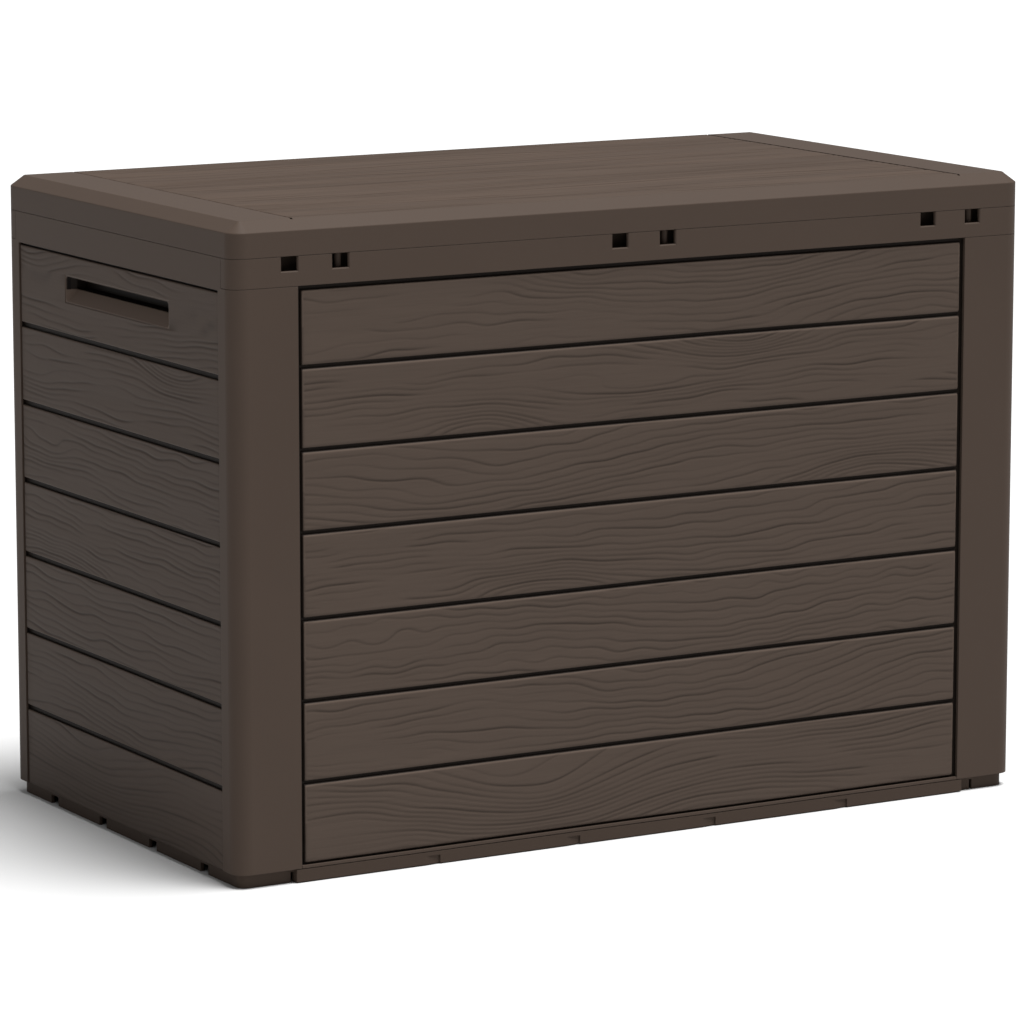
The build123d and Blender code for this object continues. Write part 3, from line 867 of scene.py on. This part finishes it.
@dataclass
class PlankField:
    """Seven grained plank faces of one wall. Millimetres."""

    wall: Wall
    spans: np.ndarray
    half_length: float
    face: float
    finish: bpy.types.Material
    hearts: dict[int, list[Heart]]
    proud: float = 0.75
    edge: float = 2.8
    pitch: float = 6.2
    top_pitch: float = 9.5
    overhang: float = 0.15
    lip_drop: float = 0.15
    wall_drop: float = 1.0
    # How strongly the plank's side walls are painted dark: painted shade.
    wall_painted_shade: float = 2.5
    grain_end: float = 0.4
    least_thick: float = 0.05
    pad_height: float = 2.5
    bite: float = 0.2
    grip_bite: float = 0.6
    pitch_along: float = 2.0
    pitch_across: float = 0.74
    grip_lines: int = 5
    first_seed: int = 3
    wall_seed_step: int = 17
    grip: Optional[tuple[float, float, float]] = None

    def build(self) -> list[bpy.types.Object]:
        """Builds every plank face of the wall.

        Returns:
            The pieces, lowest first.
        """
        return [self._plank(index, float(low), float(high)) for index, (low, high) in enumerate(self.spans)]

    def _lines_across(self, low: float, high: float, gripped: bool) -> np.ndarray:
        """Grid lines across a plank, with lines on the grip's edges where it has one."""
        if not gripped:
            return steps(low, high, self.pitch_across, self.edge)
        grip_low, grip_high, _ = self.grip
        under = steps(low, grip_low, self.pitch_across, self.edge)
        inside = np.linspace(grip_low, grip_high, self.grip_lines)[1:-1]
        over = steps(grip_high, high, self.pitch_across, self.edge)
        return np.concatenate([under, inside, over])

    def _lines_along(self, gripped: bool) -> np.ndarray:
        """Grid lines along a plank, with lines on the grip's ends where it has one."""
        half = self.half_length + self.overhang
        if not gripped:
            return steps(-half, half, self.pitch_along, self.edge)
        grip_half = self.grip[2]
        before = steps(-half, -grip_half, self.pitch_along, self.edge)
        inside = np.linspace(-grip_half, grip_half, int(2 * grip_half / self.pitch_along))[1:-1]
        after = steps(grip_half, half, self.pitch_along, self.edge)
        return np.concatenate([before, inside, after])

    def _grip_drop(self, u: np.ndarray, v: np.ndarray) -> np.ndarray:
        """Quarter-round drop towards the grip's mouth, of the distance to its rectangle."""
        grip_low, grip_high, grip_half = self.grip
        beyond = np.maximum(np.abs(u) - grip_half, 0)[None, :]
        across = np.maximum(np.maximum(grip_low - v, v - grip_high), 0)[:, None]
        return rounding(np.hypot(beyond, across), self.proud + self.bite)

    def _grip_hole(self, u: np.ndarray, v: np.ndarray) -> tuple[int, int, int, int]:
        """First and last row and column of the grid lines round the grip's mouth."""
        grip_low, grip_high, grip_half = self.grip
        rows = np.searchsorted(v, [grip_low - MM, grip_high - MM])
        columns = np.searchsorted(u, [-grip_half - MM, grip_half - MM])
        return int(rows[0]), int(rows[1]), int(columns[0]), int(columns[1])

    def _plank(self, index: int, low: float, high: float) -> bpy.types.Object:
        """Builds one plank face.

        The face stands proud of the panel's pad by a fixed height, less the grain's depth, less a
        quarter-round drop near its outline and near the grip.

        Args:
            index: The plank's number, from the bottom.
            low: Lower edge of the pad.
            high: Upper edge of the pad.

        Returns:
            The piece.
        """
        gripped = self.grip is not None and index == PLANKS - 1
        low, high = low - self.overhang, high + self.overhang
        u, v = self._lines_along(gripped), self._lines_across(low, high, gripped)
        pitch = self.top_pitch if index == PLANKS - 1 else self.pitch
        seed = self.wall.value * self.wall_seed_step + index + self.first_seed
        grain = Grain(seed, self.hearts.get(index, []), pitch=pitch)
        depth, line = grain.relief(u, v - (low + high) / 2)
        drop = rounding(self.half_length + self.overhang - np.abs(u), self.edge)[None, :]
        drop = drop + rounding(np.minimum(v - low, high - v), self.edge)[:, None]
        if gripped:
            drop = drop + self._grip_drop(u, v)
        flat = np.clip(1 - drop / self.grain_end, 0, 1)
        back = self.face - (self.grip_bite if gripped else self.pad_height + self.bite)
        height = np.maximum(self.face + self.proud + depth * flat - drop, back + self.least_thick)
        slab = Slab(u, v, height, back, self._grip_hole(u, v) if gripped else None)
        points = slab.points()
        local = np.stack([points[:, 0], -points[:, 1], points[:, 2]], axis=-1) * MM
        # Painted highlight: the upper rounded edge gets the lip value, which paints it lighter.
        upper = (v > (low + high) / 2)[:, None]
        lip_highlight = np.clip(drop / self.lip_drop, 0, 1) * upper * (drop < self.wall_drop)
        # Painted shade: the plank's side walls get a large line value, which paints them dark.
        wall = self.wall_painted_shade * np.clip((drop - self.wall_drop) / self.lip_drop, 0, 1)
        name = f"plank_{self.wall.name.lower()}_{index + 1}"
        mesh = slab.mesh(name, turned(local, self.wall), {"line": line * flat + wall, "lip_highlight": lip_highlight})
        return add_piece(mesh, self.finish, "box")


@dataclass
class LidField:
    """The grained field on top of the lid, between its two grooves. Millimetres."""

    layout: Layout
    finish: bpy.types.Material
    hearts: list[Heart]
    pitch_along: float = 2.3
    pitch_across: float = 1.22
    edge: float = 0.45
    thick: float = 0.9
    below_top: float = 0.03
    deepest: float = 0.7

    def build(self) -> bpy.types.Object:
        """Builds the field: the lid's top plane, less the grain's depth, less a rounded outline.

        Returns:
            The piece.
        """
        layout = self.layout
        half_length = layout.half_width - layout.post_front - layout.lid_groove / 2
        half_width = layout.half_depth - layout.lid_chamfer - layout.lid_edge
        u = steps(-half_length, half_length, self.pitch_along, self.edge, 3)
        v = steps(-half_width, half_width, self.pitch_across, self.edge, 3)
        grain = Grain(
            seed=211, hearts=self.hearts, style=LineStyle.BROAD, pitch=9.0, wander=0.6, ripple=0.03,
            wander_long=420.0, patch_long=240.0, patch_high=40.0, cover=0.6, swell=0.05,
        )
        depth, line = grain.relief(u, v)
        drop = rounding(half_length - np.abs(u), self.edge)[None, :]
        drop = drop + rounding(half_width - np.abs(v), self.edge)[:, None]
        height = layout.top - self.below_top + np.maximum(depth, -self.deepest) - drop
        slab = Slab(u, v, height, layout.top - self.thick)
        points = slab.points()
        place = np.stack([points[:, 0], points[:, 2], points[:, 1]], axis=-1) * MM
        mesh = slab.mesh("lid_grain_field", place, {"line": line, "lip_highlight": np.zeros_like(line)})
        return add_piece(mesh, self.finish, "lid")


@dataclass
class Panels:
    """The plank faces of all four walls."""

    layout: Layout

    def build(self) -> list[bpy.types.Object]:
        """Builds the planks of the four walls.

        Returns:
            The pieces.
        """
        layout = self.layout
        lengthways = GrainedFinish("panel_grain_lengthways", Along.X).material()
        # The side planks take the darker colour: painted shade.
        crossways = GrainedFinish("panel_grain_crossways", Along.Y, colour=SHADED_SIDE_COLOUR).material()
        made: list[bpy.types.Object] = []
        for wall in (Wall.FRONT, Wall.BACK):
            half = layout.half_width - layout.post_front - layout.front_side_gap
            face = layout.half_depth - layout.front_sink
            made += PlankField(wall, layout.front_spans(), half, face, lengthways, FRONT_HEARTS).build()
        for wall in (Wall.LEFT, Wall.RIGHT):
            half = layout.half_depth - layout.post_side - layout.side_end_gap
            face = layout.half_width - layout.side_sink
            made += PlankField(
                wall, layout.side_spans(), half, face, crossways, SIDE_HEARTS,
                proud=0.6, edge=1.4, top_pitch=6.6, grip=layout.grip(),
            ).build()
        return made


@dataclass
class Carcass:
    """The moulded nodes carried over from the frame, each with its finish."""

    nodes: dict[str, bpy.types.Object]
    layout: Layout
    base_colour: Colour = (0.056, 0.040, 0.031)
    hinge_colour: Colour = (0.046, 0.033, 0.026)

    def dress(self) -> None:
        """Gives each node its finish in place of the plain one, by how its name starts."""
        layout = self.layout
        # Painted shade in the front and side grooves and the grip's hook pocket; painted light on the
        # grip's lower slope.
        front = MouldedFinish("panel_plastic_front", (layout.front_recess(),)).material()
        dark = (layout.side_recess(), layout.pocket())
        side = MouldedFinish("panel_plastic_side", dark, (layout.grip_slope(),)).material()
        base = MouldedFinish("base_plastic", colour=self.base_colour, roughness=0.55).material()
        hinge = MouldedFinish("hinge_plastic", colour=self.hinge_colour, edge_mm=0.5).material()
        finishes = {
            "lid": MouldedFinish("lid_plastic_smooth").material(),
            "base": base,
            "hinge_clip": hinge,
            "hinge_pin": SteelFinish("pin_steel").material(),
            "left": side,
            "right": side,
        }
        for name, node in self.nodes.items():
            chosen = next((made for start, made in finishes.items() if name.startswith(start)), front)
            node.data.materials.clear()
            node.data.materials.append(chosen)
            LOG.info("%s: dressed in %s", name, chosen.name)


@dataclass(frozen=True)
class SoftSun:
    """One broad, even light from far away. Degrees."""

    name: str
    strength: float
    height: float
    turn: float
    softness: float

    def add(self) -> None:
        """Adds the light, shining down from its height and turn, which is from the front to +X."""
        light = bpy.data.lights.new(self.name, "SUN")
        light.energy = self.strength
        light.angle = math.radians(self.softness)
        lamp = bpy.data.objects.new(self.name, light)
        bpy.context.scene.collection.objects.link(lamp)
        height, turn = math.radians(self.height), math.radians(self.turn)
        towards = (math.sin(turn) * math.cos(height), -math.cos(turn) * math.cos(height), math.sin(height))
        lamp.rotation_euler = Vector(towards).to_track_quat("Z", "Y").to_euler()


@dataclass
class Studio:
    """Floor, light and camera."""

    camera_place: tuple[float, float, float] = (-2.2622, -3.8697, 1.0283)
    yaw: float = 30.281
    pitch: float = -9.848
    lens: float = 180.29
    sensor: float = 36.0
    clip_end: float = 60.0
    floor_half: float = 14.0
    floor_lines: int = 9
    sky: float = 0.3
    lights: tuple[SoftSun, ...] = (SoftSun("overhead", 5.45, 74.5, 42.0, 30.0),)

    def build(self) -> None:
        """Adds the floor, the lights, the surround and the camera."""
        bpy.context.scene.view_settings.view_transform = "Standard"
        self._floor()
        for light in self.lights:
            light.add()
        self._surround()
        self._camera()

    def _floor(self) -> None:
        """Adds a flat floor as a grid, level with the origin."""
        line = np.linspace(-self.floor_half, self.floor_half, self.floor_lines)
        x, y = np.meshgrid(line, line)
        points = np.stack([x, y, np.zeros_like(x)], axis=-1).reshape(-1, 3)
        number = np.arange(self.floor_lines**2).reshape(self.floor_lines, self.floor_lines)
        faces = np.stack([number[:-1, :-1], number[:-1, 1:], number[1:, 1:], number[1:, :-1]], axis=-1)
        mesh = bpy.data.meshes.new("floor")
        mesh.from_pydata(points.tolist(), [], faces.reshape(-1, 4).tolist())
        mesh.materials.append(FloorFinish("floor_paper").material())
        floor = bpy.data.objects.new("floor", mesh)
        bpy.context.scene.collection.objects.link(floor)

    def _surround(self) -> None:
        """Sets an even white surround."""
        world = bpy.data.worlds.new("studio_surround")
        world.use_nodes = True
        ground = world.node_tree.nodes["Background"]
        ground.inputs["Color"].default_value = (1.0, 1.0, 1.0, 1.0)
        ground.inputs["Strength"].default_value = self.sky
        bpy.context.scene.world = world

    def _camera(self) -> None:
        """Adds the camera at its place, turned by yaw from +Y towards +X and pitched down."""
        data = bpy.data.cameras.new("camera")
        data.lens = self.lens
        data.sensor_width = self.sensor
        data.clip_end = self.clip_end
        camera = bpy.data.objects.new("camera", data)
        bpy.context.scene.collection.objects.link(camera)
        yaw, pitch = math.radians(self.yaw), math.radians(self.pitch)
        ahead = (math.sin(yaw) * math.cos(pitch), math.cos(yaw) * math.cos(pitch), math.sin(pitch))
        camera.location = self.camera_place
        camera.rotation_euler = Vector(ahead).to_track_quat("-Z", "Y").to_euler()
        bpy.context.scene.camera = camera


FRONT_HEARTS: dict[int, list[Heart]] = {
    6: [Heart(110, 46, 8.0, 115, 44), Heart(-60, 34, 2.6, 60, 22), Heart(290, -30, -2.6, 110, 34)],
    5: [Heart(95, 38, 6.0, 62, 24), Heart(-155, -34, -4.2, 54, 26), Heart(10, -6, 2.0, 80, 9)],
    4: [Heart(240, -36, -5.0, 80, 28), Heart(-150, -16, 4.5, 150, 40), Heart(40, 30, 1.5, 160, 30)],
    3: [Heart(-100, -36, -4.5, 70, 24), Heart(60, 10, 1.8, 150, 40), Heart(290, 40, -2.4, 150, 30)],
    2: [Heart(40, -10, 2.2, 170, 60), Heart(-220, 30, -1.4, 110, 24)],
    1: [Heart(60, 0, 2.4, 130, 50), Heart(300, 20, -3.0, 130, 40)],
    0: [Heart(-110, 6, 5.0, 110, 40), Heart(60, -36, -3.4, 110, 30), Heart(220, 36, 1.8, 110, 18)],
}

SIDE_HEARTS: dict[int, list[Heart]] = {
    6: [Heart(-165, 34, 3.0, 70, 30), Heart(190, -30, -1.6, 90, 30)],
    5: [Heart(103, 36, 5.0, 54, 22), Heart(-150, -8, 1.6, 60, 12)],
    4: [Heart(-140, 0, 2.4, 60, 14), Heart(60, 30, 1.4, 120, 26)],
    3: [Heart(-160, -36, -3.2, 60, 24), Heart(-85, -38, -2.8, 44, 22), Heart(120, 20, 1.2, 120, 30)],
    2: [Heart(-40, 0, 1.4, 150, 50)],
    1: [Heart(60, -10, 1.2, 140, 40)],
    0: [Heart(-40, 10, 3.4, 110, 36), Heart(120, -30, -1.6, 90, 26)],
}

LID_FINISH = GrainedFinish(
    "lid_grain_lengthways", Along.X, colour=(0.066, 0.0455, 0.034), line_dark=0.75, streak_contrast=0.34
)
# Painted shade: a darker copy of the plank colour for the side walls, standing in for their being less lit
# than the front.
SHADED_SIDE_COLOUR: Colour = (0.0625, 0.0455, 0.036)

LID_HEARTS: list[Heart] = [
    Heart(-120, 60, 1.4, 260, 40),
    Heart(140, -90, -1.6, 240, 36),
    Heart(60, 150, -1.2, 220, 36),
]


def main() -> None:
    """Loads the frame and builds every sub-assembly in order."""
    logging.basicConfig(level=logging.INFO, format="%(name)s %(message)s")
    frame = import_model()
    layout = Layout.from_frame()
    Carcass(frame["nodes"], layout).dress()
    Panels(layout).build()
    LidField(layout, LID_FINISH.material(), LID_HEARTS).build()
    Studio().build()


if __name__ == "__main__":
    main()
